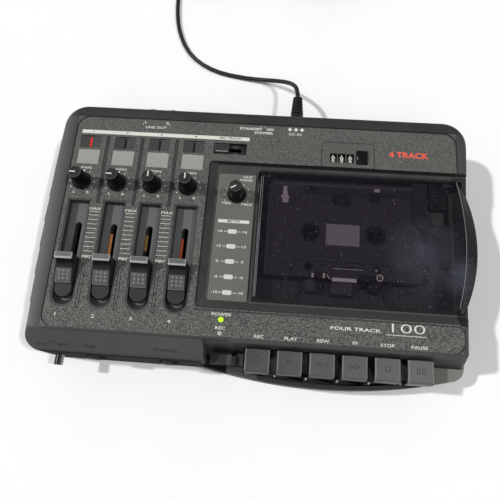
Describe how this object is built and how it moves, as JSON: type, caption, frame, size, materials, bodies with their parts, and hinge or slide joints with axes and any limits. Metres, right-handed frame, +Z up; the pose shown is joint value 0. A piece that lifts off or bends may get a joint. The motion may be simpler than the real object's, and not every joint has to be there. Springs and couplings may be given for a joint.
{
  "type": "four track cassette recorder",
  "caption": "Desktop multitrack cassette recorder with fader channels, pan knobs, a smoked lid over the tape deck, piano keys and a power lead.",
  "frame": {"origin": "on the table under the middle of the recorder, without its power lead", "axes": "+X to the right along the keys, +Y to the back where the sockets are, +Z up"},
  "size_m": [0.283, 0.3851, 0.0632],
  "materials": {
    "case_plastic": "fine sprayed texture, warm dark grey",
    "tray_plastic": "fine texture, darker grey",
    "black_plastic": "satin black",
    "fader_plastic": "satin dark grey with a light grip bar",
    "key_plastic": "satin slate grey",
    "meter_plastic": "satin mid grey",
    "lens_white": "milky lens",
    "lens_red": "clear red lens, the first one lit",
    "label_white": "write-on surface",
    "lid_plastic": "smoked clear plastic",
    "rubber": "matte",
    "steel": "zinc plated",
    "chrome": "bright",
    "deck_black": "black painted sheet",
    "brass": "turned",
    "board_green": "coated board",
    "pot_metal": "pressed cans",
    "tape_brown": "wound tape on a white hub",
    "cassette_black": "moulded black",
    "window_clear": "clear window",
    "cord_black": "soft black jacket"
  },
  "bodies": {
    "case": {"top_case": "case_plastic", "bottom_case": "tray_plastic", "rubber_feet": "rubber", "case_screws": "steel", "main_board": "board_green", "meter_panel": "meter_plastic", "meter_lenses": "lens_white", "signal_lamps": "lens_white", "track_tiles": "black_plastic", "track_lamps": "lens_red", "label_strips": "label_white", "control_pots": "pot_metal", "counter_frame": "case_plastic", "cassette_shell": "cassette_black", "cassette_window": "window_clear", "deck_plate": "deck_black", "drive_motor": "pot_metal", "drive_belt": "rubber", "key_shaft": "steel", "lid_hinge_pins": "steel", "line_out_jacks": "chrome", "dc_socket": "black_plastic", "front_jacks": "black_plastic", "dc_plug": "cord_black", "dc_cord": "cord_black", "dc_coil": "cord_black", "mains_adapter": "cord_black"},
    "lid": {"cassette_lid": "lid_plastic"},
    "head_carriage": {"head_plate": "steel", "tape_heads": "chrome"},
    "pinch_roller": {"pinch_roller": "rubber"},
    "supply": {"supply_spindle": "black_plastic", "supply_reel": "tape_brown"},
    "takeup": {"takeup_spindle": "black_plastic", "takeup_reel": "tape_brown"},
    "flywheel": {"capstan_flywheel": "steel"},
    "pulley": {"motor_pulley": "brass"},
    "counter_units": {"counter_units": "black_plastic"},
    "counter_tens": {"counter_tens": "black_plastic"},
    "counter_hundreds": {"counter_hundreds": "black_plastic"},
    "counter_reset": {"counter_reset": "black_plastic"},
    "track_selector": {"track_selector": "black_plastic"},
    "power_switch": {"power_switch": "black_plastic"},
    "trim_knob": {"trim_knob": "pot_metal"},
    "level_knob": {"level_knob": "black_plastic"},
    "pan_knob_1": {"pan_knob_1": "black_plastic"},
    "pan_knob_2": {"pan_knob_2": "black_plastic"},
    "pan_knob_3": {"pan_knob_3": "black_plastic"},
    "pan_knob_4": {"pan_knob_4": "black_plastic"},
    "fader_1": {"fader_knob_1": "fader_plastic"},
    "fader_2": {"fader_knob_2": "fader_plastic"},
    "fader_3": {"fader_knob_3": "fader_plastic"},
    "fader_4": {"fader_knob_4": "fader_plastic"},
    "rec_key": {"rec_key": "key_plastic"},
    "play_key": {"play_key": "key_plastic"},
    "rewind_key": {"rewind_key": "key_plastic"},
    "forward_key": {"forward_key": "key_plastic"},
    "stop_key": {"stop_key": "key_plastic"},
    "pause_key": {"pause_key": "key_plastic"}
  },
  "joints": [
    {"name": "lid_hinge", "type": "hinge", "parent": "case", "child": "lid", "pos_m": [0.062, 0.04, 0.046], "axis": [-1, 0, 0], "range_deg": [0, 70]},
    {"name": "head_slide", "type": "slide", "parent": "case", "child": "head_carriage", "axis": [0, 1, 0], "range_m": [0, 0.004]},
    {"name": "pinch_spin", "type": "hinge", "parent": "head_carriage", "child": "pinch_roller", "pos_m": [0.0781, -0.0296, 0.036], "axis": [0, 0, 1], "continuous": true},
    {"name": "supply_spin", "type": "hinge", "parent": "case", "child": "supply", "pos_m": [0.03505, 0.00415, 0.03], "axis": [0, 0, 1], "continuous": true},
    {"name": "takeup_spin", "type": "hinge", "parent": "case", "child": "takeup", "pos_m": [0.07755, 0.00415, 0.03], "axis": [0, 0, 1], "continuous": true},
    {"name": "flywheel_spin", "type": "hinge", "parent": "case", "child": "flywheel", "pos_m": [0.0781, -0.0195, 0.01], "axis": [0, 0, 1], "continuous": true},
    {"name": "pulley_spin", "type": "hinge", "parent": "case", "child": "pulley", "pos_m": [0.112, 0.022, 0.01], "axis": [0, 0, 1], "continuous": true},
    {"name": "hundreds_spin", "type": "hinge", "parent": "case", "child": "counter_hundreds", "pos_m": [0.0478, 0.0555, 0.0432], "axis": [1, 0, 0], "continuous": true},
    {"name": "tens_spin", "type": "hinge", "parent": "case", "child": "counter_tens", "pos_m": [0.0535, 0.0555, 0.0432], "axis": [1, 0, 0], "continuous": true},
    {"name": "units_spin", "type": "hinge", "parent": "case", "child": "counter_units", "pos_m": [0.0592, 0.0555, 0.0432], "axis": [1, 0, 0], "continuous": true},
    {"name": "reset_press", "type": "slide", "parent": "case", "child": "counter_reset", "axis": [0, 0, -1], "range_m": [0, 0.002], "stiffness_N_per_m": 300, "springref_m": -0.002},
    {"name": "selector_slide", "type": "slide", "parent": "case", "child": "track_selector", "axis": [1, 0, 0], "range_m": [0, 0.0105]},
    {"name": "switch_slide", "type": "slide", "parent": "case", "child": "power_switch", "axis": [1, 0, 0], "range_m": [-0.004, 0]},
    {"name": "trim_turn", "type": "hinge", "parent": "case", "child": "trim_knob", "pos_m": [-0.1215, -0.088, 0.027], "axis": [0, 1, 0], "range_deg": [-140, 140]},
    {"name": "level_turn", "type": "hinge", "parent": "case", "child": "level_knob", "pos_m": [-0.015, 0.026, 0.05], "axis": [0, 0, 1], "range_deg": [-260, 20]},
    {"name": "pan_1_turn", "type": "hinge", "parent": "case", "child": "pan_knob_1", "pos_m": [-0.1193, 0.0279, 0.055], "axis": [0, 0, 1], "range_deg": [-230, 50]},
    {"name": "pan_2_turn", "type": "hinge", "parent": "case", "child": "pan_knob_2", "pos_m": [-0.0954, 0.0279, 0.055], "axis": [0, 0, 1], "range_deg": [-230, 50]},
    {"name": "pan_3_turn", "type": "hinge", "parent": "case", "child": "pan_knob_3", "pos_m": [-0.0715, 0.0279, 0.055], "axis": [0, 0, 1], "range_deg": [-140, 140]},
    {"name": "pan_4_turn", "type": "hinge", "parent": "case", "child": "pan_knob_4", "pos_m": [-0.0476, 0.0279, 0.055], "axis": [0, 0, 1], "range_deg": [-140, 140]},
    {"name": "fader_1_slide", "type": "slide", "parent": "case", "child": "fader_1", "axis": [0, 1, 0], "range_m": [0, 0.03]},
    {"name": "fader_2_slide", "type": "slide", "parent": "case", "child": "fader_2", "axis": [0, 1, 0], "range_m": [0, 0.03]},
    {"name": "fader_3_slide", "type": "slide", "parent": "case", "child": "fader_3", "axis": [0, 1, 0], "range_m": [0, 0.03]},
    {"name": "fader_4_slide", "type": "slide", "parent": "case", "child": "fader_4", "axis": [0, 1, 0], "range_m": [0, 0.03]},
    {"name": "rec_key_press", "type": "hinge", "parent": "case", "child": "rec_key", "pos_m": [0.00595, -0.052, 0.027], "axis": [1, 0, 0], "range_deg": [0, 9], "stiffness_Nm_per_rad": 0.4, "springref_deg": -5.73},
    {"name": "play_key_press", "type": "hinge", "parent": "case", "child": "play_key", "pos_m": [0.02587, -0.052, 0.027], "axis": [1, 0, 0], "range_deg": [0, 9], "stiffness_Nm_per_rad": 0.4, "springref_deg": -5.73},
    {"name": "rewind_key_press", "type": "hinge", "parent": "case", "child": "rewind_key", "pos_m": [0.04579, -0.052, 0.027], "axis": [1, 0, 0], "range_deg": [0, 9], "stiffness_Nm_per_rad": 0.4, "springref_deg": -5.73},
    {"name": "forward_key_press", "type": "hinge", "parent": "case", "child": "forward_key", "pos_m": [0.06571, -0.052, 0.027], "axis": [1, 0, 0], "range_deg": [0, 9], "stiffness_Nm_per_rad": 0.4, "springref_deg": -5.73},
    {"name": "stop_key_press", "type": "hinge", "parent": "case", "child": "stop_key", "pos_m": [0.08563, -0.052, 0.027], "axis": [1, 0, 0], "range_deg": [0, 9], "stiffness_Nm_per_rad": 0.4, "springref_deg": -5.73},
    {"name": "pause_key_press", "type": "hinge", "parent": "case", "child": "pause_key", "pos_m": [0.10555, -0.052, 0.027], "axis": [1, 0, 0], "range_deg": [0, 9], "stiffness_Nm_per_rad": 0.4, "springref_deg": -5.73}
  ],
  "couplings": [
    {"joint": "head_slide", "follows": "play_key_press", "m_per_rad": 0.0254},
    {"joint": "pulley_spin", "follows": "flywheel_spin", "ratio": 6.303},
    {"joint": "supply_spin", "follows": "takeup_spin", "ratio": 0.7857},
    {"joint": "units_spin", "follows": "takeup_spin", "ratio": 0.05},
    {"joint": "tens_spin", "follows": "takeup_spin", "ratio": 0.005},
    {"joint": "hundreds_spin", "follows": "takeup_spin", "ratio": 0.0005}
  ]
}
